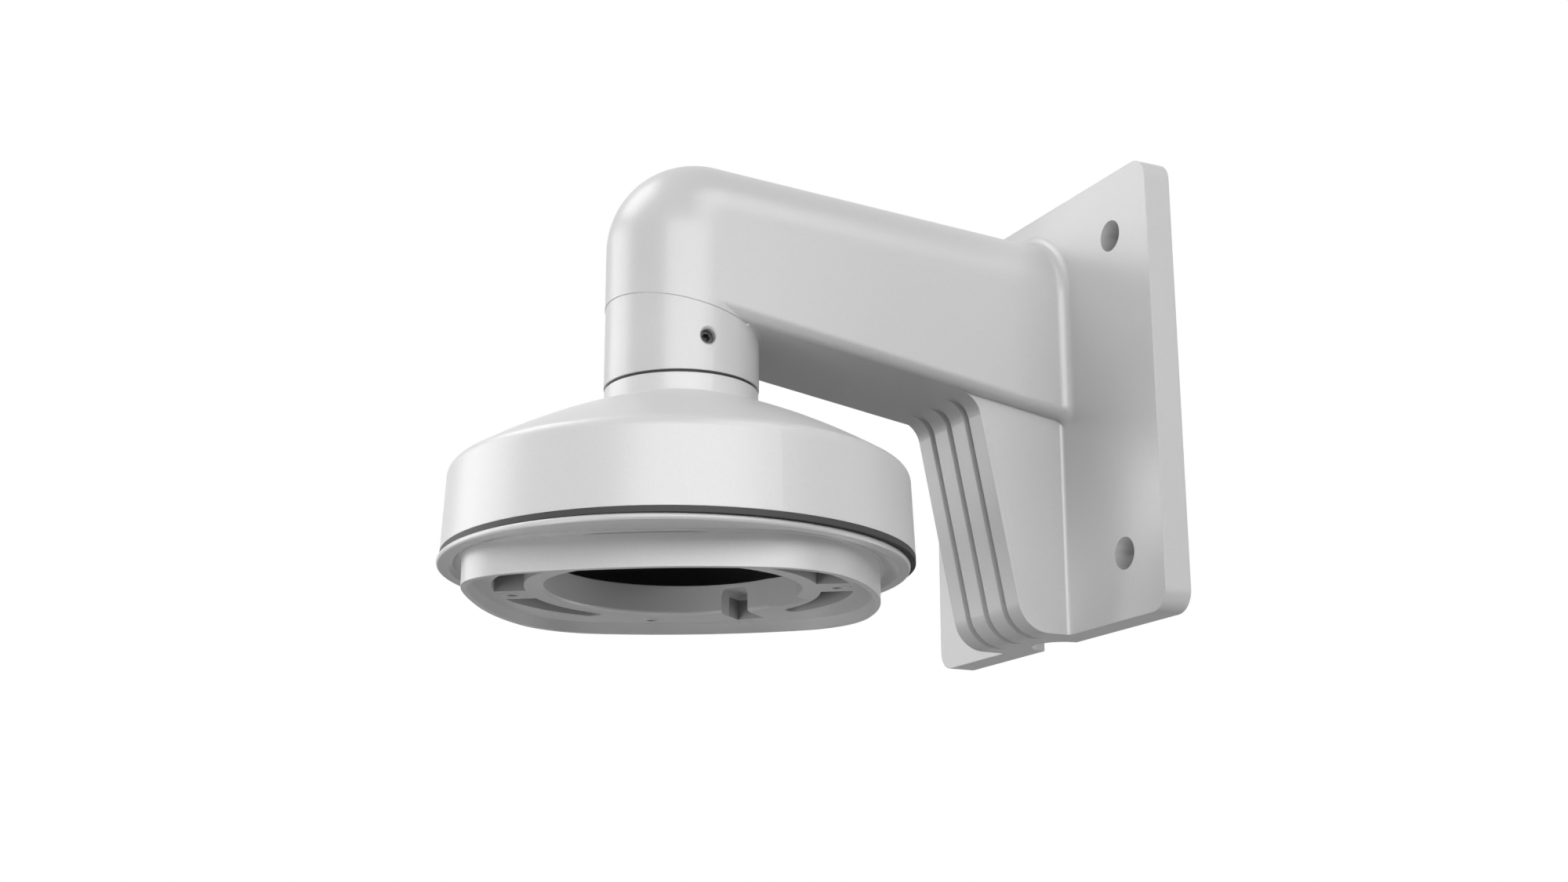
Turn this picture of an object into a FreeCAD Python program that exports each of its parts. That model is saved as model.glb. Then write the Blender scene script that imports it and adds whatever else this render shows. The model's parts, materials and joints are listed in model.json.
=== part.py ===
"""Camera wall bracket: a die-cast wall arm with a screwed-on cap and a mounting plate under it.

Row frame in millimetres: origin at the centre of the wall plate's back face, +X to the right
seen from the front, +Y into the wall, +Z up. The arm reaches out along -Y and its cap hangs down.
"""
import FreeCAD
import Part
import math
import os

os.makedirs("parts", exist_ok=True)
V = FreeCAD.Vector
UP = V(0, 0, 1)

# driving sizes
# wall plate
PLATE_W = 109.5
PLATE_H = 121.6
PLATE_T = 7.85
PLATE_CORNER_R = 5.5
WALL = 3.0
HOLE_X = 38.3
HOLE_Z = 43.6
HOLE_R = 4.25
HOLE_BOSS_R = 8.0
NOTCH_R = 7.8

# arm: a flat-sided bar with a full-round top, set a little to the left of the plate's centre
ARM_X = -4.0
AXIS_Y = -114.2
ARM_R = 20.2
TOP_AXIS_Z = 38.9
TOP_AXIS_FALL = 0.0515
UNDER_Z = 13.75
UNDER_FALL = 0.1451
ARM_FILLET = 3.0
BEND_OFFSET = 3.8
ROOT_FILLET = 3.0

# pipe at the end of the arm; the thread in it is taken at its pitch diameter
PIPE_R = 20.05
PIPE_END_Z = -2.95
COLLAR_Z = 14.3
COLLAR_TILT = 12.5
COLLAR_FILLET = 1.3
SOCKET_R = 15.9
SOCKET_DEPTH = 16.0

# grub screw that locks the cap in the pipe
GRUB_Z = 6.2
GRUB_TURN = -3.7
GRUB_R = 2.0
GRUB_LENGTH = 3.0
GRUB_SUNK = 2.2
GRUB_CLEARANCE = 0.15
GRUB_MOUTH = 0.5
HEX_R = 1.15
HEX_DEPTH = 1.6

# web under the arm, with grooves down its front
WEB_HALF = 16.4
WEB_TOP_Y = -34.98
WEB_LEAN = 0.2026
WEB_TOP_R = 7.3
WEB_TOE_R = 9.1
WEB_ROOT_R = 1.2
GROOVE_W = 2.5
GROOVE_PITCH = 9.1
GROOVE_DEPTH = 3.1

# cap: threaded spigot, neck, shoulder and skirt, with a washer between its neck and the pipe
THREAD_CLEARANCE = 0.1
WASHER_T = 0.75
WASHER_STEP = 0.55
SPIGOT_L = 12.7
CABLE_R = 12.5
NECK_R = 19.9
NECK_H = 4.5
SHOULDER_DROP = 18.4
SHOULDER_BULGE = 1.2
SKIRT_FLARE = 1.0
SHOULDER_CORNER_R = 3.3
SKIRT_R = 59.7
SKIRT_H = 21.0
CAP_WALL = 2.8

# gasket between the skirt and the mounting plate
GASKET_T = 1.5
GASKET_W = 2.3

# mounting plate: a round flange with a rounded-diamond foot, a little off the pipe's axis
BASE_DX = -0.47
BASE_DY = -0.95
BASE_TURN = 58.2
RIM_STEP = 0.3
RIM_T = 1.1
RIM_W = 3.0
DISH_W = 4.0
DISH_DEPTH = 0.8
REGISTER_H = 1.6
REGISTER_CLEARANCE = 0.2
FOOT_DX = -0.32
FOOT_DY = 1.2
FOOT_H = 9.2
FOOT_A = 50.9
FOOT_B = 44.5
FOOT_END_R = 72.0
FOOT_SIDE_R = 120.0
FOOT_CORNER_R = 25.9
FOOT_WALL = 1.5
BEAD_W = 0.8
BEAD_T = 0.4
FOOT_RECESS = 2.9
BORE_R = 32.2
BORE_EDGE = 1.0

# slots, screw bosses, keyway and cable channel in the floor of the mounting plate
MAIN_HOLE_ANGLE = 57.0
MAIN_HOLE_PCR = 41.3
SIDE_HOLE_PCR = 40.4
SIDE_HOLE_ANGLE = 108.3
BOSS_R = 3.2
BOSS_RISE = 0.2
BOSS_HALF = 4.7
BOSS_HOLE_R = 1.55
BOSS_HOLE_DEPTH = 5.0
SLOT_IN_R = 36.8
SLOT_NEAR_R = 45.0
SLOT_MID_R = 43.6
SLOT_FAR_R = 41.6
SLOT_SWEEP = 46.0
SLOT_DEPTH = 5.2
KEYWAY_FROM = 79.5
KEYWAY_TO = 108.0
KEYWAY_R = 35.5
CHANNEL_W = 7.7
CHANNEL_ANGLE = 129.5
CHANNEL_SIDE = 1.45
CHANNEL_REACH = 42.4
CHANNEL_RISE = 6.9
CHANNEL_CORNER_R = 2.0

# levels down the pipe's axis, each from the one above it
SOCKET_TOP_Z = PIPE_END_Z + SOCKET_DEPTH
NECK_TOP_Z = PIPE_END_Z - WASHER_T
SPIGOT_TOP_Z = NECK_TOP_Z + SPIGOT_L
SHOULDER_Z = NECK_TOP_Z - NECK_H
SHOULDER_END_Z = SHOULDER_Z - SHOULDER_DROP
SKIRT_END_Z = SHOULDER_END_Z - SKIRT_H
FLANGE_TOP_Z = SKIRT_END_Z - GASKET_T
RIM_Z = FLANGE_TOP_Z - RIM_T
DISH_Z = RIM_Z + DISH_DEPTH
BASE_TOP_Z = FLANGE_TOP_Z + REGISTER_H
FOOT_Z = FLANGE_TOP_Z - FOOT_H
FLOOR_Z = FOOT_Z + FOOT_RECESS

# sizes and places that follow from others
SPIGOT_R = SOCKET_R - THREAD_CLEARANCE
GRUB_END_R = PIPE_R - GRUB_SUNK - GRUB_LENGTH
SHOULDER_END_R = SKIRT_R - SKIRT_FLARE
RIM_R = SKIRT_R - RIM_STEP
BASE_X = ARM_X + BASE_DX
BASE_Y = AXIS_Y + BASE_DY
REGISTER_R = SKIRT_R - CAP_WALL - math.hypot(BASE_DX, BASE_DY) - REGISTER_CLEARANCE


# helpers
def box(x0, x1, y0, y1, z0, z1):
    return Part.makeBox(x1 - x0, y1 - y0, z1 - z0, V(x0, y0, z0))


def cyl(r, z0, z1, x=0.0, y=0.0):
    return Part.makeCylinder(r, z1 - z0, V(x, y, z0), UP)


def ring(r_in, r_out, z0, z1, x=0.0, y=0.0):
    return cyl(r_out, z0, z1, x, y).cut(cyl(r_in, z0 - 1, z1 + 1, x, y))


def face(points):
    """Flat face through a closed polygon."""
    return Part.Face(Part.makePolygon(points + [points[0]]))


def path_face(edges):
    return Part.Face(Part.Wire(edges))


def turned(edges):
    """Solid of revolution about the Z axis of a profile drawn in the XZ plane."""
    return solid_of(path_face(edges).revolve(V(0, 0, 0), UP, 360))


def solid_of(shape):
    """The shape with its outside facing out, whichever way its profile was drawn."""
    if shape.Volume < 0:
        shape.reverse()
    return shape


def arc(a, middle, b):
    return Part.Arc(a, middle, b).toShape()


def line(a, b):
    return Part.makeLine(a, b)


def corner_arc(before, corner, after, r):
    """Arc of radius r that rounds a corner of a path; returns its start, middle and end."""
    u = (before - corner).normalize()
    w = (after - corner).normalize()
    half = u.getAngle(w) / 2
    run = r / math.tan(half)
    out = (u + w).normalize()
    return corner + u * run, corner + out * (r / math.sin(half) - r), corner + w * run


def rounded_path(points, radii):
    """Closed path through points with each corner rounded by its own radius (0 keeps it sharp)."""
    n = len(points)
    spans = []
    for i in range(n):
        if radii[i] > 0:
            spans.append(corner_arc(points[i - 1], points[i], points[(i + 1) % n], radii[i]))
        else:
            spans.append((points[i], None, points[i]))
    edges = []
    for i in range(n):
        a, m, b = spans[i]
        if m is not None:
            edges.append(arc(a, m, b))
        start = spans[(i + 1) % n][0]
        if b.distanceToPoint(start) > 1e-6:
            edges.append(line(b, start))
    return edges


def top_axis_z(y):
    """Height of the centre line of the arm's round top."""
    return TOP_AXIS_Z - TOP_AXIS_FALL * (y - AXIS_Y)


def under_z(y):
    """Height of the arm's underside, which falls towards the wall."""
    return UNDER_Z - UNDER_FALL * (y - AXIS_Y)


# arm and elbow
LEAN = math.atan(TOP_AXIS_FALL)
BEND_Y = AXIS_Y + BEND_OFFSET
BEND_Z = top_axis_z(BEND_Y) - BEND_OFFSET / math.cos(LEAN)


def arm_section(y, top, inset):
    """Section of the lower part of the arm across y, with its filleted underside."""
    half = ARM_R - inset
    r = ARM_FILLET if inset == 0 else ARM_FILLET / 2
    x, z0 = ARM_X, under_z(y) + inset
    points = [V(x - half, y, top), V(x - half, y, z0), V(x + half, y, z0), V(x + half, y, top)]
    return Part.Wire(rounded_path(points, [0, r, r, 0]))


def arm_solid(inset, foot_y):
    """Arm with its elbow and upright, shrunk by inset on every side."""
    r = ARM_R - inset
    x = ARM_X
    near = Part.makeLoft([arm_section(AXIS_Y, BEND_Z, inset), arm_section(BEND_Y, BEND_Z, inset)],
                         True, True)
    far = Part.makeLoft([arm_section(BEND_Y, top_axis_z(BEND_Y) - 1, inset),
                         arm_section(foot_y, top_axis_z(foot_y) - 1, inset)], True, True)

    # elbow: half a disc swung about the bend axis, from the upright round to the arm
    disc = Part.Face(Part.Wire(Part.makeCircle(r, V(x, AXIS_Y, BEND_Z), UP)))
    front = face([V(x - 2 * r, AXIS_Y - 2 * r, BEND_Z), V(x + 2 * r, AXIS_Y - 2 * r, BEND_Z),
                  V(x + 2 * r, BEND_Y, BEND_Z), V(x - 2 * r, BEND_Y, BEND_Z)])
    elbow = disc.common(front).Faces[0].revolve(V(x, BEND_Y, BEND_Z), V(-1, 0, 0),
                                                90 + math.degrees(LEAN))
    core = Part.makeCylinder(BEND_OFFSET, 2 * r, V(x - r, BEND_Y, BEND_Z), V(1, 0, 0))

    # round top: a stadium section pushed along the arm, starting on the elbow's end face
    along = V(0, math.cos(LEAN), -math.sin(LEAN))
    across = V(0, math.sin(LEAN), math.cos(LEAN))
    start = V(x, BEND_Y, BEND_Z)
    side = V(r, 0, 0)
    shoulder = start + across * BEND_OFFSET
    foot = start - across * 6
    section = path_face([line(shoulder - side, foot - side), line(foot - side, foot + side),
                         line(foot + side, shoulder + side),
                         arc(shoulder + side, shoulder + across * r, shoulder - side)])
    top = section.extrude(along * ((foot_y - BEND_Y) / math.cos(LEAN) + 4))
    top = top.common(box(-PLATE_W, PLATE_W, 2 * AXIS_Y, foot_y, -PLATE_H, PLATE_H))

    upright = cyl(r, COLLAR_Z - 10, BEND_Z, x, AXIS_Y)
    return near.fuse([far, elbow, core, top, upright]).removeSplitter()


def collar_cutter():
    """Everything below the tilted plane where the arm's own surface gives way to the pipe's."""
    side, depth = 3 * ARM_R, 2 * ARM_R
    block = Part.makeBox(side, side, depth,
                         V(ARM_X - side / 2, AXIS_Y - side / 2, COLLAR_Z - depth))
    block.rotate(V(ARM_X, AXIS_Y, COLLAR_Z), V(1, 0, 0), -COLLAR_TILT)
    return block.common(cyl(ARM_R + 1, COLLAR_Z - ARM_R, COLLAR_Z + ARM_R, ARM_X, AXIS_Y))


def collar_fillet():
    """Concave fillet between the upright and the arm's underside, which is not quite square to it."""
    f, r = COLLAR_FILLET, ARM_R
    mid = f * (1 - math.sqrt(0.5))
    edges = [arc(V(r + f, 0, 0), V(r + mid, 0, -mid), V(r, 0, -f)),
             line(V(r, 0, -f), V(r - f, 0, -f)), line(V(r - f, 0, -f), V(r - f, 0, f)),
             line(V(r - f, 0, f), V(r + f, 0, f)), line(V(r + f, 0, f), V(r + f, 0, 0))]
    solid = turned(edges)
    solid.rotate(V(0, 0, 0), V(1, 0, 0), -math.degrees(math.atan(UNDER_FALL)))
    solid.translate(V(ARM_X, AXIS_Y, UNDER_Z))
    half = ARM_R - ARM_FILLET
    return solid.common(box(ARM_X - half, ARM_X + half, AXIS_Y, AXIS_Y + 2 * ARM_R, 0, 2 * UNDER_Z))


# web under the arm
def web_prism(x0, x1, shift, foot_z, back_y):
    """Side profile of the web between two x places, its front moved in by shift."""
    top = V(0, WEB_TOP_Y + shift, under_z(WEB_TOP_Y + shift))
    toe = V(0, top.y + WEB_LEAN * (top.z - foot_z), foot_z)
    before = V(0, top.y - 30, under_z(top.y - 30))
    a, m, b = corner_arc(before, top, toe, WEB_TOP_R)
    c, n, d = corner_arc(top, toe, V(0, back_y, foot_z), WEB_TOE_R)
    back_low = V(0, back_y, foot_z)
    back_high = V(0, back_y, under_z(back_y) + 4)
    front_high = V(0, a.y, a.z + 4)
    profile = path_face([arc(a, m, b), line(b, c), arc(c, n, d), line(d, back_low),
                         line(back_low, back_high), line(back_high, front_high),
                         line(front_high, a)])
    profile.translate(V(x0, 0, 0))
    return profile.extrude(V(x1 - x0, 0, 0))


def web_solid():
    """Web with four ribs standing proud of it; the gaps between the ribs are the grooves."""
    left, right = ARM_X - WEB_HALF, ARM_X + WEB_HALF
    web = web_prism(left, right, GROOVE_DEPTH, -PLATE_H / 2, -1)
    edges = [left]
    for i in (-1, 0, 1):
        groove = ARM_X + GROOVE_PITCH * i
        edges += [groove - GROOVE_W / 2, groove + GROOVE_W / 2]
    edges.append(right)
    ribs = [web_prism(edges[i], edges[i + 1], 0, -PLATE_H / 2, -1) for i in range(0, 8, 2)]
    return web.fuse(ribs).removeSplitter()


def web_root():
    """Small concave fillets where the web's two sides meet the plate."""
    r = WEB_ROOT_R
    solids = []
    for side in (-1, 1):
        x = ARM_X + side * WEB_HALF
        y = -PLATE_T
        centre = V(x + side * r, y - r, -PLATE_H / 2)
        mid = centre + V(-side, 1, 0).normalize() * r
        corner = V(x - side * 0.5, y + 0.5, -PLATE_H / 2)
        edges = [arc(V(x, y - r, centre.z), mid, V(x + side * r, y, centre.z)),
                 line(V(x + side * r, y, centre.z), V(x + side * r, corner.y, centre.z)),
                 line(V(x + side * r, corner.y, centre.z), corner),
                 line(corner, V(corner.x, y - r, centre.z)),
                 line(V(corner.x, y - r, centre.z), V(x, y - r, centre.z))]
        solids.append(path_face(edges).extrude(V(0, 0, under_z(y) + 1 - centre.z)))
    return solids


# wall plate
def plate_block(inset, y0, y1):
    w, h, r = PLATE_W / 2 - inset, PLATE_H / 2 - inset, PLATE_CORNER_R - inset
    points = [V(-w, y0, -h), V(w, y0, -h), V(w, y0, h), V(-w, y0, h)]
    return path_face(rounded_path(points, [r] * 4)).extrude(V(0, y1 - y0, 0))


def along_y(r, x, z, y0, y1):
    return Part.makeCylinder(r, y1 - y0, V(x, y0, z), V(0, 1, 0))


def on_front(edge):
    """Is this edge part of the joint between the arm and the plate's front face?"""
    bb = edge.BoundBox
    flat = abs(bb.YMin + PLATE_T) < 1e-4 and abs(bb.YMax + PLATE_T) < 1e-4
    inside = max(abs(bb.XMin), abs(bb.XMax)) < PLATE_W / 2 - 10 and bb.ZMax < PLATE_H / 2 - 1
    return flat and inside


def bracket_body():
    # outside: plate and arm with the fillet round the arm's root, then the pipe and the web
    arm = arm_solid(0, -PLATE_T / 2).cut(collar_cutter())
    body = plate_block(0, -PLATE_T, 0).fuse(arm).removeSplitter().Solids[0]
    body = body.makeFillet(ROOT_FILLET, [e for e in body.Edges if on_front(e)])
    pipe = cyl(PIPE_R, PIPE_END_Z, BEND_Z - WALL, ARM_X, AXIS_Y)
    body = body.fuse([pipe, collar_fillet(), web_solid()] + web_root())

    # hollows: behind the plate, in the arm and web, and up the pipe
    pocket = plate_block(WALL, -PLATE_T + WALL, 1)
    for x in (-HOLE_X, HOLE_X):
        for z in (-HOLE_Z, HOLE_Z):
            pocket = pocket.cut(along_y(HOLE_BOSS_R, x, z, -PLATE_T, 2))
    hollow = arm_solid(WALL, 1).cut(cyl(PIPE_R, COLLAR_Z - ARM_R, SOCKET_TOP_Z, ARM_X, AXIS_Y))
    web_hollow = web_prism(ARM_X - WEB_HALF + WALL, ARM_X + WEB_HALF - WALL, GROOVE_DEPTH + WALL,
                           -PLATE_H / 2 + WALL, 1)
    socket = cyl(SOCKET_R, PIPE_END_Z - 1, SOCKET_TOP_Z + 1, ARM_X, AXIS_Y)
    body = body.cut([pocket, hollow, web_hollow, socket])

    # holes: four wall screws, the cable notch in the bottom wall, and the grub screw
    holes = [along_y(HOLE_R, x, z, -PLATE_T - 1, 1)
             for x in (-HOLE_X, HOLE_X) for z in (-HOLE_Z, HOLE_Z)]
    notch = cyl(NOTCH_R, -PLATE_H / 2 - 1, -PLATE_H / 2 + WALL + 1, ARM_X, 0)
    body = body.cut(holes + [notch, grub_bore(GRUB_R, ARM_R + 2), grub_mouth()])
    return body.removeSplitter().Solids[0]


# grub screw in the side of the pipe
def grub_dir():
    a = math.radians(GRUB_TURN)
    return V(math.cos(a), math.sin(a), 0)


def grub_bore(r, reach):
    start = V(ARM_X, AXIS_Y, GRUB_Z) + grub_dir() * (SOCKET_R - 1)
    return Part.makeCylinder(r, reach - SOCKET_R + 1, start, grub_dir())


def grub_mouth():
    start = V(ARM_X, AXIS_Y, GRUB_Z) + grub_dir() * (PIPE_R - GRUB_MOUTH)
    return Part.makeCone(GRUB_R, GRUB_R + 2 * GRUB_MOUTH, 2 * GRUB_MOUTH, start, grub_dir())


def set_screw():
    d = grub_dir()
    middle = V(ARM_X, AXIS_Y, GRUB_Z)
    body = Part.makeCylinder(GRUB_R, GRUB_LENGTH, middle + d * GRUB_END_R, d)
    hexagon = []
    side = V(-d.y, d.x, 0)
    seat = middle + d * (PIPE_R - GRUB_SUNK - HEX_DEPTH)
    for i in range(6):
        a = 2 * math.pi * i / 6
        hexagon.append(seat + side * (HEX_R * math.cos(a)) + UP * (HEX_R * math.sin(a)))
    return body.cut(face(hexagon).extrude(d * (HEX_DEPTH + 1)))


# cap
def neck_washer():
    return ring(SPIGOT_R, PIPE_R - WASHER_STEP, NECK_TOP_Z, PIPE_END_Z, ARM_X, AXIS_Y)


def shoulder_path(wall):
    """Points of the cap's shoulder from the neck out to the skirt's foot, moved in by wall."""
    a = V(NECK_R, 0, SHOULDER_Z)
    b = V(SHOULDER_END_R, 0, SHOULDER_END_Z)
    slope = (b - a).normalize()
    normal = V(-slope.z, 0, slope.x)
    if normal.z < 0:
        normal = normal * -1
    mid = (a + b) * 0.5 + normal * SHOULDER_BULGE
    a = a - normal * wall
    b = b - V(wall, 0, 0) - normal * wall + normal * (wall * normal.x)
    mid = mid - normal * wall
    return a, mid, b


def cap():
    # outside profile, from the spigot's top down to the skirt's foot
    a, mid, b = shoulder_path(0)
    foot = V(SKIRT_R, 0, SKIRT_END_Z)
    curve = Part.Arc(a, mid, b)
    tangent = curve.tangent(curve.LastParameter)[0]
    c, n, d = corner_arc(b - tangent * 10, b, foot, SHOULDER_CORNER_R)
    near = Part.Arc(a, mid, c)

    # inside profile, one wall thickness in
    ai, midi, bi = shoulder_path(CAP_WALL)
    inner_foot = V(SKIRT_R - CAP_WALL, 0, SKIRT_END_Z)
    bi = V(SHOULDER_END_R - CAP_WALL, 0, bi.z)
    ai = V(CABLE_R, 0, ai.z + (ai.x - CABLE_R) * (ai.z - bi.z) / (bi.x - ai.x))
    p, q, r = corner_arc(ai, bi, inner_foot, SHOULDER_CORNER_R - 1)

    edges = [line(V(CABLE_R, 0, SPIGOT_TOP_Z), V(SPIGOT_R, 0, SPIGOT_TOP_Z)),
             line(V(SPIGOT_R, 0, SPIGOT_TOP_Z), V(SPIGOT_R, 0, NECK_TOP_Z)),
             line(V(SPIGOT_R, 0, NECK_TOP_Z), V(NECK_R, 0, NECK_TOP_Z)),
             line(V(NECK_R, 0, NECK_TOP_Z), a),
             near.toShape(), arc(c, n, d), line(d, foot), line(foot, inner_foot),
             line(inner_foot, r), arc(r, q, p), line(p, ai),
             line(ai, V(CABLE_R, 0, SPIGOT_TOP_Z))]
    solid = turned(edges)
    solid.translate(V(ARM_X, AXIS_Y, 0))

    # dimple in the spigot for the end of the grub screw
    depth = SPIGOT_R - GRUB_END_R + GRUB_CLEARANCE
    start = V(ARM_X, AXIS_Y, GRUB_Z) + grub_dir() * (SPIGOT_R - depth)
    dimple = Part.makeCylinder(GRUB_R + GRUB_CLEARANCE, depth + 1, start, grub_dir())
    return solid.cut(dimple)


def skirt_gasket():
    return ring(SKIRT_R - GASKET_W, SKIRT_R, FLANGE_TOP_Z, SKIRT_END_Z, ARM_X, AXIS_Y)


# mounting plate
def foot_face(inset, z):
    """Rounded-diamond outline of the foot: two bowed ends and two bowed sides, joined by corner arcs."""
    a, b = FOOT_A - inset, FOOT_B - inset
    end_r, side_r, corner_r = FOOT_END_R - inset, FOOT_SIDE_R - inset, FOOT_CORNER_R - inset

    # centre of the corner arc that runs inside the end's arc and the side's arc
    end, side = V(a - end_r, 0, z), V(0, b - side_r, z)
    n = (side - end).normalize()
    gap = end.distanceToPoint(side)
    near, far = end_r - corner_r, side_r - corner_r
    along = (near ** 2 - far ** 2 + gap ** 2) / (2 * gap)
    corner = end + n * along + V(-n.y, n.x, 0) * math.sqrt(near ** 2 - along ** 2)
    from_end = (corner - end).normalize()
    from_side = (corner - side).normalize()
    on_end = end + from_end * end_r
    on_side = side + from_side * side_r
    middle = corner + (from_end + from_side).normalize() * corner_r

    def turn(point, sx, sy):
        return V(point.x * sx, point.y * sy, z)

    edges = [arc(turn(on_end, 1, -1), V(a, 0, z), on_end),
             arc(on_end, middle, on_side),
             arc(on_side, V(0, b, z), turn(on_side, -1, 1)),
             arc(turn(on_side, -1, 1), turn(middle, -1, 1), turn(on_end, -1, 1)),
             arc(turn(on_end, -1, 1), V(-a, 0, z), turn(on_end, -1, -1)),
             arc(turn(on_end, -1, -1), turn(middle, -1, -1), turn(on_side, -1, -1)),
             arc(turn(on_side, -1, -1), V(0, -b, z), turn(on_side, 1, -1)),
             arc(turn(on_side, 1, -1), turn(middle, 1, -1), turn(on_end, 1, -1))]
    shape = path_face(edges)
    shape.rotate(V(0, 0, 0), UP, BASE_TURN)
    shape.translate(V(FOOT_DX, FOOT_DY, 0))
    return shape


def foot_block(inset, z0, z1):
    return foot_face(inset, z0).extrude(V(0, 0, z1 - z0))


def at(r, degrees, z=0.0):
    a = math.radians(degrees)
    return V(r * math.cos(a), r * math.sin(a), z)


def slot(side):
    """Cutter for one slot beside the first boss: flat at the boss, narrowing to a rounded end."""
    z = FLOOR_Z - 0.5
    near_in = math.degrees(math.asin(BOSS_HALF / SLOT_IN_R)) * side
    near_out = math.degrees(math.asin(BOSS_HALF / SLOT_NEAR_R)) * side
    far = SLOT_SWEEP * side
    tip = far + side * math.degrees((SLOT_FAR_R - SLOT_IN_R) / 2 / SLOT_IN_R)
    edges = [arc(at(SLOT_IN_R, near_in, z), at(SLOT_IN_R, far / 2, z), at(SLOT_IN_R, far, z)),
             arc(at(SLOT_IN_R, far, z), at((SLOT_IN_R + SLOT_FAR_R) / 2, tip, z),
                 at(SLOT_FAR_R, far, z)),
             arc(at(SLOT_FAR_R, far, z), at(SLOT_MID_R, (far + near_out) / 2, z),
                 at(SLOT_NEAR_R, near_out, z)),
             line(at(SLOT_NEAR_R, near_out, z), at(SLOT_IN_R, near_in, z))]
    return solid_of(path_face(edges).extrude(V(0, 0, SLOT_DEPTH + 0.5)))


def base_plate():
    # flange with a rounded rim, a dished underside and a raised middle that sits in the skirt
    top, low = FLANGE_TOP_Z, RIM_Z
    r = RIM_T / 2
    dish_r = RIM_R - RIM_W
    edges = [line(V(0, 0, BASE_TOP_Z), V(REGISTER_R, 0, BASE_TOP_Z)),
             line(V(REGISTER_R, 0, BASE_TOP_Z), V(REGISTER_R, 0, top)),
             line(V(REGISTER_R, 0, top), V(RIM_R - r, 0, top)),
             arc(V(RIM_R - r, 0, top), V(RIM_R, 0, top - r), V(RIM_R - r, 0, low)),
             line(V(RIM_R - r, 0, low), V(dish_r, 0, low)),
             arc(V(dish_r, 0, low), V(dish_r - DISH_W * 0.4, 0, DISH_Z - DISH_DEPTH * 0.2),
                 V(dish_r - DISH_W, 0, DISH_Z)),
             line(V(dish_r - DISH_W, 0, DISH_Z), V(0, 0, DISH_Z)),
             line(V(0, 0, DISH_Z), V(0, 0, BASE_TOP_Z))]
    wall = foot_block(0, FOOT_Z, FLANGE_TOP_Z)
    bead = foot_block(-BEAD_W, DISH_Z - BEAD_T, FLANGE_TOP_Z)
    base = turned(edges).multiFuse([wall, bead]).removeSplitter().Solids[0]

    # recess inside the foot's rim, and low pads round the camera's screw holes
    base = base.cut(foot_block(FOOT_WALL, FOOT_Z - 1, FLOOR_Z))
    pads = [cyl(BOSS_R, FLOOR_Z - BOSS_RISE, FLOOR_Z + 1, p.x, p.y) for p in screw_places()]
    base = base.fuse(pads)

    # bore with its keyway, slots beside the main bosses, cable channel and screw holes
    cuts = [bore_cutter(), keyway_cutter(), channel_cutter()]
    for turn in (MAIN_HOLE_ANGLE, MAIN_HOLE_ANGLE + 180):
        for side in (-1, 1):
            cutter = slot(side)
            cutter.rotate(V(0, 0, 0), UP, turn)
            cuts.append(cutter)
    for p in screw_places():
        cuts.append(cyl(BOSS_HOLE_R, FOOT_Z, FLOOR_Z + BOSS_HOLE_DEPTH, p.x, p.y))
    base = base.cut(cuts).removeSplitter().Solids[0]
    base.translate(V(BASE_X, BASE_Y, 0))
    return base


def screw_places():
    """Centres of the camera's screw holes, seen from the middle of the mounting plate."""
    places = []
    for turn in (0, 180):
        places.append(at(MAIN_HOLE_PCR, MAIN_HOLE_ANGLE + turn))
        places.append(at(SIDE_HOLE_PCR, MAIN_HOLE_ANGLE + SIDE_HOLE_ANGLE + turn))
    return places


def bore_cutter():
    """Central bore with a small rounding at its lower edge."""
    r = BORE_EDGE
    edges = [line(V(0, 0, FOOT_Z - 1), V(BORE_R + r, 0, FOOT_Z - 1)),
             line(V(BORE_R + r, 0, FOOT_Z - 1), V(BORE_R + r, 0, FLOOR_Z)),
             arc(V(BORE_R + r, 0, FLOOR_Z), V(BORE_R + r * 0.293, 0, FLOOR_Z + r * 0.293),
                 V(BORE_R, 0, FLOOR_Z + r)),
             line(V(BORE_R, 0, FLOOR_Z + r), V(BORE_R, 0, BASE_TOP_Z + 1)),
             line(V(BORE_R, 0, BASE_TOP_Z + 1), V(0, 0, BASE_TOP_Z + 1)),
             line(V(0, 0, BASE_TOP_Z + 1), V(0, 0, FOOT_Z - 1))]
    return turned(edges)


def keyway_cutter():
    """Ramp-shaped keyway in the side of the bore."""
    z = FOOT_Z - 1
    step = (KEYWAY_TO - KEYWAY_FROM) / 2
    inner = BORE_R - 2
    edges = [line(at(inner, KEYWAY_FROM, z), at(KEYWAY_R, KEYWAY_FROM + 1.5, z)),
             arc(at(KEYWAY_R, KEYWAY_FROM + 1.5, z),
                 at((KEYWAY_R + BORE_R) / 2 + 0.3, KEYWAY_FROM + step, z), at(BORE_R, KEYWAY_TO, z)),
             line(at(BORE_R, KEYWAY_TO, z), at(inner, KEYWAY_TO, z)),
             arc(at(inner, KEYWAY_TO, z), at(inner, KEYWAY_FROM + step, z),
                 at(inner, KEYWAY_FROM, z))]
    return solid_of(path_face(edges).extrude(V(0, 0, BASE_TOP_Z + 1 - z)))


def channel_cutter():
    """Straight cable channel from the bore outwards, with rounded upper corners."""
    w, r = CHANNEL_W / 2, CHANNEL_CORNER_R
    x = CHANNEL_SIDE
    low = FLOOR_Z - 0.5
    high = FLOOR_Z + CHANNEL_RISE
    points = [V(x - w, 0, low), V(x + w, 0, low), V(x + w, 0, high), V(x - w, 0, high)]
    cutter = path_face(rounded_path(points, [0, 0, r, r])).extrude(V(0, CHANNEL_REACH, 0))
    cutter.rotate(V(0, 0, 0), UP, CHANNEL_ANGLE - 90)
    return solid_of(cutter)


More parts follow.
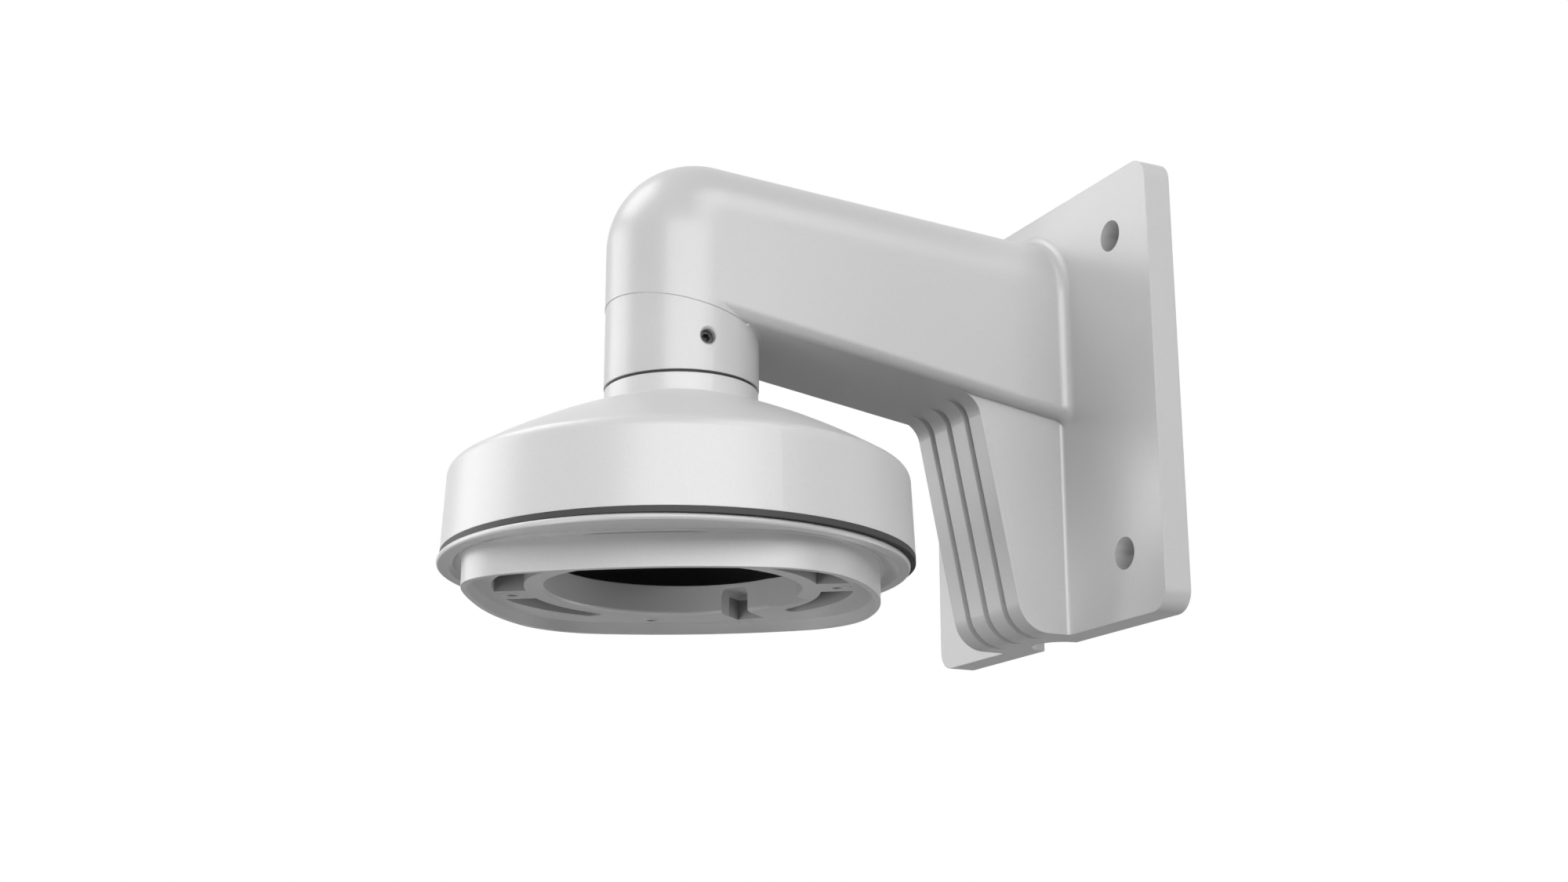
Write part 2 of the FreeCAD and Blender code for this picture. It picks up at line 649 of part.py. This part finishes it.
SUB_PARTS = {
    "bracket_body": bracket_body,
    "set_screw": set_screw,
    "neck_washer": neck_washer,
    "cap": cap,
    "skirt_gasket": skirt_gasket,
    "base_plate": base_plate,
}

for name, make in SUB_PARTS.items():
    make().exportStep("parts/" + name + ".step")
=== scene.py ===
"""Camera wall bracket in a plain white studio, seen from below and to the right."""
import json
import math
import bpy
import bmesh
from mathutils import Matrix, Vector


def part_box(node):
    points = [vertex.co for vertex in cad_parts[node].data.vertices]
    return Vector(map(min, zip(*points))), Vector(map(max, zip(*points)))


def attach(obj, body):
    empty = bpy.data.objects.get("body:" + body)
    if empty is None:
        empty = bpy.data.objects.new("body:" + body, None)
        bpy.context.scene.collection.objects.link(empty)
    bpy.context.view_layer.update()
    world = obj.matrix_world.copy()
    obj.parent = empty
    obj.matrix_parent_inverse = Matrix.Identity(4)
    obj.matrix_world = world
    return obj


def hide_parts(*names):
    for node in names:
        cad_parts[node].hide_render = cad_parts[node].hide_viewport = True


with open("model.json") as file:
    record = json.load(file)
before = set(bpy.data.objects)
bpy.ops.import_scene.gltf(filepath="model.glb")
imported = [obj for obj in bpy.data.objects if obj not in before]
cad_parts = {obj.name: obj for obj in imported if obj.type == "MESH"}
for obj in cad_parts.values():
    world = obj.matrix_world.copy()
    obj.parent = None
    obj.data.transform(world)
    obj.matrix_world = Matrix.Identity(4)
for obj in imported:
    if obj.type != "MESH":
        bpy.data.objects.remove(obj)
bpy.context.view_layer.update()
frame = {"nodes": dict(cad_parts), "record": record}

# view: the photograph's place and lens, in metres and degrees
VIEW_AZIMUTH = 63.787
VIEW_ELEVATION = -15.558
EYE = Vector((0.45420, -0.31024, -0.15469))
LENS = 46.223
SENSOR = 36

# studio: a wide floor below, and softboxes on a sphere round the bracket
FLOOR_Z = -1.5
FLOOR_HALF = 12
FLOOR_GLOW = 0.65
SKY = 0.0
MIDDLE = Vector((0, -0.09, 0))
LAMP_DISTANCE = 1.4
LAMP_HEIGHT = 0.7

nodes = frame["nodes"]


# the cast parts' common measures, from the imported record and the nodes, in metres
mounts = {mount["name"]: mount for mount in frame["record"]["mounts"]}
bolts = mounts["wall_bolts"]["dims"]
BOLT_X = bolts["spacing_x_mm"] / 2000
BOLT_Z = bolts["spacing_y_mm"] / 2000
BOLT_R = bolts["hole_r_mm"] / 1000
cap_low, cap_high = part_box("cap")
CAP_AXIS = (cap_low + cap_high) / 2
CAP_R = (cap_high.x - cap_low.x) / 2
MM = 0.001

# under the foot: the bore's axis, the recess, and the ring that the curved slots lie in
BORE_AXIS = Vector((-4.47, -115.15, 0)) * MM
FOOT_RECESS = 2.9 * MM
SLOT_DEPTH = 5.2 * MM
SLOT_INNER_R = 36.6 * MM
SLOT_MIDDLE_R = 40.9 * MM
SLOT_OUTER_R = 45.2 * MM

# which of the cap's and the foot's surfaces count as facing in, down or out
CAP_EDGE = 2.0 * MM
FACING_IN = 0.5
FACING_DOWN = 0.2
FACING_OUT = 0.4

# shade in the bolt holes, from their mouth towards the wall
HOLE_MOUTH_Y = -7.6 * MM
HOLE_DARK_Y = -2.0 * MM
HOLE_SHADE = 0.6


# materials
class Coat:
    """A material being built: its shader, its links and short ways to add nodes."""

    def __init__(self, name):
        self.material = bpy.data.materials.new(name)
        self.material.use_nodes = True
        self.nodes = self.material.node_tree.nodes
        self.links = self.material.node_tree.links
        self.shader = self.nodes["Principled BSDF"]
        self.place = self.nodes.new("ShaderNodeTexCoord").outputs["Object"]

    def put(self, socket, value):
        if isinstance(value, bpy.types.NodeSocket):
            self.links.new(value, socket)
        else:
            socket.default_value = value

    def math(self, operation, a, b=0.0):
        node = self.nodes.new("ShaderNodeMath")
        node.operation = operation
        self.put(node.inputs[0], a)
        self.put(node.inputs[1], b)
        return node.outputs[0]

    def vector(self, operation, a, b):
        node = self.nodes.new("ShaderNodeVectorMath")
        node.operation = operation
        self.put(node.inputs[0], a)
        self.put(node.inputs[1], b)
        return node

    def split(self, vector):
        node = self.nodes.new("ShaderNodeSeparateXYZ")
        self.put(node.inputs[0], vector)
        return node.outputs

    def noise(self, scale, detail):
        node = self.nodes.new("ShaderNodeTexNoise")
        node.inputs["Scale"].default_value = scale
        node.inputs["Detail"].default_value = detail
        self.put(node.inputs["Vector"], self.place)
        return node.outputs["Fac"]

    def mix(self, factor, a, b):
        node = self.nodes.new("ShaderNodeMix")
        node.data_type = "RGBA"
        self.put(node.inputs["Factor"], factor)
        self.put(node.inputs["A"], a)
        self.put(node.inputs["B"], b)
        return node.outputs["Result"]

    def ramp(self, value, low, high, to_low=0.0, to_high=1.0):
        node = self.nodes.new("ShaderNodeMapRange")
        node.interpolation_type = "SMOOTHSTEP"
        self.put(node.inputs["Value"], value)
        limits = (("From Min", low), ("From Max", high), ("To Min", to_low), ("To Max", to_high))
        for name, number in limits:
            node.inputs[name].default_value = number
        return node.outputs["Result"]

    def true_normal(self):
        return self.nodes.new("ShaderNodeNewGeometry").outputs["True Normal"]

    def round_axis(self, axis):
        """Distance from an upright axis, and how far the surface faces away from it, 1 to -1."""
        out = self.vector("SUBTRACT", self.place, tuple(axis)).outputs[0]
        out = self.vector("MULTIPLY", out, (1, 1, 0)).outputs[0]
        radius = self.vector("LENGTH", out, (0, 0, 0)).outputs["Value"]
        out = self.vector("NORMALIZE", out, (0, 0, 0)).outputs[0]
        away = self.vector("DOT_PRODUCT", out, self.true_normal())
        return radius, away.outputs["Value"]

    def within(self, value, low, high):
        """1 where the value lies between low and high, else 0."""
        off = self.math("ABSOLUTE", self.math("SUBTRACT", value, (low + high) / 2))
        return self.math("LESS_THAN", off, (high - low) / 2)

    def grain(self, scale, strength, height, edge):
        """Fine bumps over edges that are rounded by the width edge."""
        rounded = self.nodes.new("ShaderNodeBevel")
        rounded.samples = 6
        rounded.inputs["Radius"].default_value = edge
        bump = self.nodes.new("ShaderNodeBump")
        bump.inputs["Strength"].default_value = strength
        bump.inputs["Distance"].default_value = height
        self.put(bump.inputs["Height"], self.noise(scale, 2))
        self.put(bump.inputs["Normal"], rounded.outputs["Normal"])
        self.put(self.shader.inputs["Normal"], bump.outputs["Normal"])


def grey(level):
    return (level, level, level, 1)


def paint(name, level, roughness, mottle=0.04):
    """Fine powder coat: satin, with a faint mottle in the colour and a fine-grained surface."""
    coat = Coat(name)
    coat.shader.inputs["Roughness"].default_value = roughness
    coat.shader.inputs["Specular IOR Level"].default_value = 1.0
    coat.grain(scale=2600, strength=0.35, height=0.06 * MM, edge=0.3 * MM)
    spots = coat.noise(scale=1500, detail=3)
    coat.colour = coat.mix(spots, grey(level * (1 - mottle)), grey(level * (1 + mottle)))
    coat.put(coat.shader.inputs["Base Color"], coat.colour)
    return coat


def rubber(name, dark, light, roughness=0.6):
    """Black rubber or blackened steel, finely mottled."""
    coat = Coat(name)
    coat.shader.inputs["Roughness"].default_value = roughness
    coat.grain(scale=3000, strength=0.3, height=0.03 * MM, edge=0.15 * MM)
    spots = coat.noise(scale=3000, detail=2)
    coat.put(coat.shader.inputs["Base Color"], coat.mix(spots, grey(dark), grey(light)))
    return coat


def bracket_paint():
    """The bracket's coat, in shade in the bolt holes, more so towards the wall."""
    coat = paint("bracket_coat", level=0.61, roughness=0.33)
    x, y, z = coat.split(coat.place)
    across = coat.math("SUBTRACT", coat.math("ABSOLUTE", x), BOLT_X)
    along = coat.math("SUBTRACT", coat.math("ABSOLUTE", z), BOLT_Z)
    square = coat.math("ADD", coat.math("MULTIPLY", across, across),
                       coat.math("MULTIPLY", along, along))
    inside = coat.math("LESS_THAN", coat.math("SQRT", square), BOLT_R + 0.02 * MM)
    deep = coat.ramp(y, HOLE_MOUTH_Y, HOLE_DARK_Y)
    shade = coat.math("MULTIPLY", inside, coat.math("MULTIPLY", deep, HOLE_SHADE))
    coat.put(coat.shader.inputs["Base Color"], coat.mix(shade, coat.colour, grey(0.05)))
    return coat


def cap_paint():
    """The cap's coat outside, with painted shade on its interior, darkened to near black."""
    coat = paint("cap_coat", level=0.70, roughness=0.34)
    radius, away = coat.round_axis(CAP_AXIS)
    facing_in = coat.math("LESS_THAN", away, FACING_IN)
    facing_down = coat.math("LESS_THAN", coat.split(coat.true_normal())[2], FACING_DOWN)
    within = coat.math("LESS_THAN", radius, CAP_R - CAP_EDGE)
    inside = coat.math("MULTIPLY", coat.math("MULTIPLY", facing_in, facing_down), within)
    # painted shade: the cap's interior surfaces take a near-black grey
    coat.put(coat.shader.inputs["Base Color"], coat.mix(inside, coat.colour, grey(0.10)))
    return coat


def base_paint():
    """The mounting plate's coat, in shade in the slots and screw holes under the foot."""
    coat = paint("base_coat", level=0.65, roughness=0.34)
    radius, away = coat.round_axis(BORE_AXIS)
    z = coat.split(coat.place)[2]
    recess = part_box("base_plate")[0].z + FOOT_RECESS
    ring = coat.within(radius, SLOT_INNER_R, SLOT_OUTER_R)
    cut = coat.within(z, recess + 0.1 * MM, recess + SLOT_DEPTH + 0.15 * MM)
    outer_wall = coat.math("MULTIPLY", coat.math("GREATER_THAN", away, FACING_OUT),
                           coat.math("GREATER_THAN", radius, SLOT_MIDDLE_R))
    inside = coat.math("MULTIPLY", coat.math("MULTIPLY", ring, cut), coat.math("SUBTRACT", 1.0, outer_wall))
    deep = coat.ramp(z, recess, recess + SLOT_DEPTH, 0.35, 0.7)
    shade = coat.math("MULTIPLY", inside, deep)
    coat.put(coat.shader.inputs["Base Color"], coat.mix(shade, coat.colour, grey(0.08)))
    return coat


def give(node, coat):
    mesh = nodes[node].data
    mesh.materials.clear()
    mesh.materials.append(coat.material)


give("bracket_body", bracket_paint())
give("cap", cap_paint())
give("skirt_gasket", rubber("black_rubber", dark=0.03, light=0.05))
give("neck_washer", rubber("washer_rubber", dark=0.03, light=0.05))
give("set_screw", rubber("black_steel", dark=0.06, light=0.09, roughness=0.4))


# base plate: the node's own shape, with the foot's front left corner and the flange's lip drawn out
FOOT_CORNER = Vector((-3.9, -167.5, 0)) * MM
FOOT_PULL = Vector((0.40, -3.35, 0)) * MM
FOOT_REACH = 12.5 * MM
LIP_STRETCH = 1.5
LIP_H = 1.2 * MM
FLANGE_W = 3.5 * MM
MERGE_GAP = 0.001 * MM
SHARP_ANGLE = math.radians(10)


def fitted_base():
    node = nodes["base_plate"]
    gasket_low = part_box("skirt_gasket")[0].z
    piece = bmesh.new()
    piece.from_mesh(node.data)
    bmesh.ops.remove_doubles(piece, verts=piece.verts, dist=MERGE_GAP)
    for vert in piece.verts:
        depth = gasket_low - vert.co.z
        if depth <= 0:
            continue
        away = (vert.co.xy - FOOT_CORNER.xy).length
        flange = (vert.co.xy - CAP_AXIS.xy).length > CAP_R - FLANGE_W
        if not (flange and depth < LIP_H):
            vert.co += FOOT_PULL * math.exp(-0.5 * (away / FOOT_REACH) ** 2)
        if depth < LIP_H:
            vert.co.z = gasket_low - depth * LIP_STRETCH
    mesh = bpy.data.meshes.new("base_plate_fitted")
    points = [tuple(vert.co) for vert in piece.verts]
    faces = [[vert.index for vert in face.verts] for face in piece.faces]
    piece.free()
    mesh.from_pydata(points, [], faces)
    mesh.shade_smooth()
    mesh.set_sharp_from_angle(angle=SHARP_ANGLE)
    mesh.materials.append(base_paint().material)
    base = bpy.data.objects.new("base_plate_fitted", mesh)
    bpy.context.scene.collection.objects.link(base)
    weighted = base.modifiers.new("even_shading", "WEIGHTED_NORMAL")
    weighted.keep_sharp = True
    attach(base, "root")
    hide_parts("base_plate")


fitted_base()


# studio
def outward(azimuth, elevation):
    """Unit vector away from the bracket; azimuth 0 is the wall plate's front."""
    a, e = math.radians(azimuth), math.radians(elevation)
    return Vector((math.sin(a) * math.cos(e), -math.cos(a) * math.cos(e), math.sin(e)))


def softbox(name, azimuth, elevation, width, power):
    """A lamp on the sphere round the bracket, facing it."""
    out = outward(azimuth, elevation)
    data = bpy.data.lights.new(name, "AREA")
    data.shape = "RECTANGLE"
    data.size = width
    data.size_y = LAMP_HEIGHT
    data.energy = power
    lamp = bpy.data.objects.new(name, data)
    lamp.location = MIDDLE + out * LAMP_DISTANCE
    lamp.rotation_euler = (-out).to_track_quat("-Z", "Y").to_euler()
    bpy.context.scene.collection.objects.link(lamp)


softbox("front", 79, 15, 1.08, 8.0)
softbox("front_left", 49, 15, 0.36, 2.6)
softbox("right", 109, 15, 0.36, 1.5)
softbox("right_top", 109, 50, 0.83, 4.7)
softbox("left", -41, 15, 1.08, 5.9)
softbox("left_top", -41, 50, 0.83, 5.6)
softbox("low_left", 11.5, -25, 0.69, 5.7)
softbox("low_back", 169, -25, 1.0, 4.9)

world = bpy.data.worlds.new("studio")
bpy.context.scene.world = world
world.use_nodes = True
wn, wl = world.node_tree.nodes, world.node_tree.links
wn.clear()
out = wn.new("ShaderNodeOutputWorld")
mix = wn.new("ShaderNodeMixShader")
path = wn.new("ShaderNodeLightPath")
seen = wn.new("ShaderNodeBackground")
seen.inputs["Color"].default_value = (1, 1, 1, 1)
sky = wn.new("ShaderNodeBackground")
sky.inputs["Color"].default_value = (1, 1, 1, 1)
sky.inputs["Strength"].default_value = SKY
mirror = wn.new("ShaderNodeMath")
mirror.operation = "MAXIMUM"
glass = wn.new("ShaderNodeMath")
glass.operation = "MAXIMUM"
wl.new(path.outputs["Is Camera Ray"], mirror.inputs[0])
wl.new(path.outputs["Is Glossy Ray"], mirror.inputs[1])
wl.new(mirror.outputs[0], glass.inputs[0])
wl.new(path.outputs["Is Transmission Ray"], glass.inputs[1])
wl.new(glass.outputs[0], mix.inputs["Fac"])
wl.new(sky.outputs["Background"], mix.inputs[1])
wl.new(seen.outputs["Background"], mix.inputs[2])
wl.new(mix.outputs["Shader"], out.inputs["Surface"])

floor_mesh = bpy.data.meshes.new("floor")
corners = [(x * FLOOR_HALF, y * FLOOR_HALF, FLOOR_Z)
           for x, y in ((-1, -1), (1, -1), (1, 1), (-1, 1))]
floor_mesh.from_pydata(corners, [], [(0, 1, 2, 3)])
floor = bpy.data.objects.new("floor", floor_mesh)
bpy.context.scene.collection.objects.link(floor)
floor_coat = Coat("floor_coat")
floor_coat.shader.inputs["Base Color"].default_value = grey(0.8)
floor_coat.shader.inputs["Emission Color"].default_value = grey(1.0)
seen_by_camera = floor_coat.nodes.new("ShaderNodeLightPath").outputs["Is Camera Ray"]
glow = floor_coat.math("MULTIPLY", seen_by_camera, FLOOR_GLOW)
floor_coat.put(floor_coat.shader.inputs["Emission Strength"], glow)
floor_mesh.materials.append(floor_coat.material)

# camera
turn = math.radians(VIEW_AZIMUTH)
back = outward(VIEW_AZIMUTH, VIEW_ELEVATION)
right = Vector((math.cos(turn), math.sin(turn), 0))
up = back.cross(right)
camera_data = bpy.data.cameras.new("camera")
camera_data.sensor_width = SENSOR
camera_data.lens = LENS
camera = bpy.data.objects.new("camera", camera_data)
camera.matrix_world = Matrix((right, up, back)).transposed().to_4x4()
camera.location = EYE
bpy.context.scene.collection.objects.link(camera)
bpy.context.scene.camera = camera
bpy.context.scene.view_settings.view_transform = "Standard"
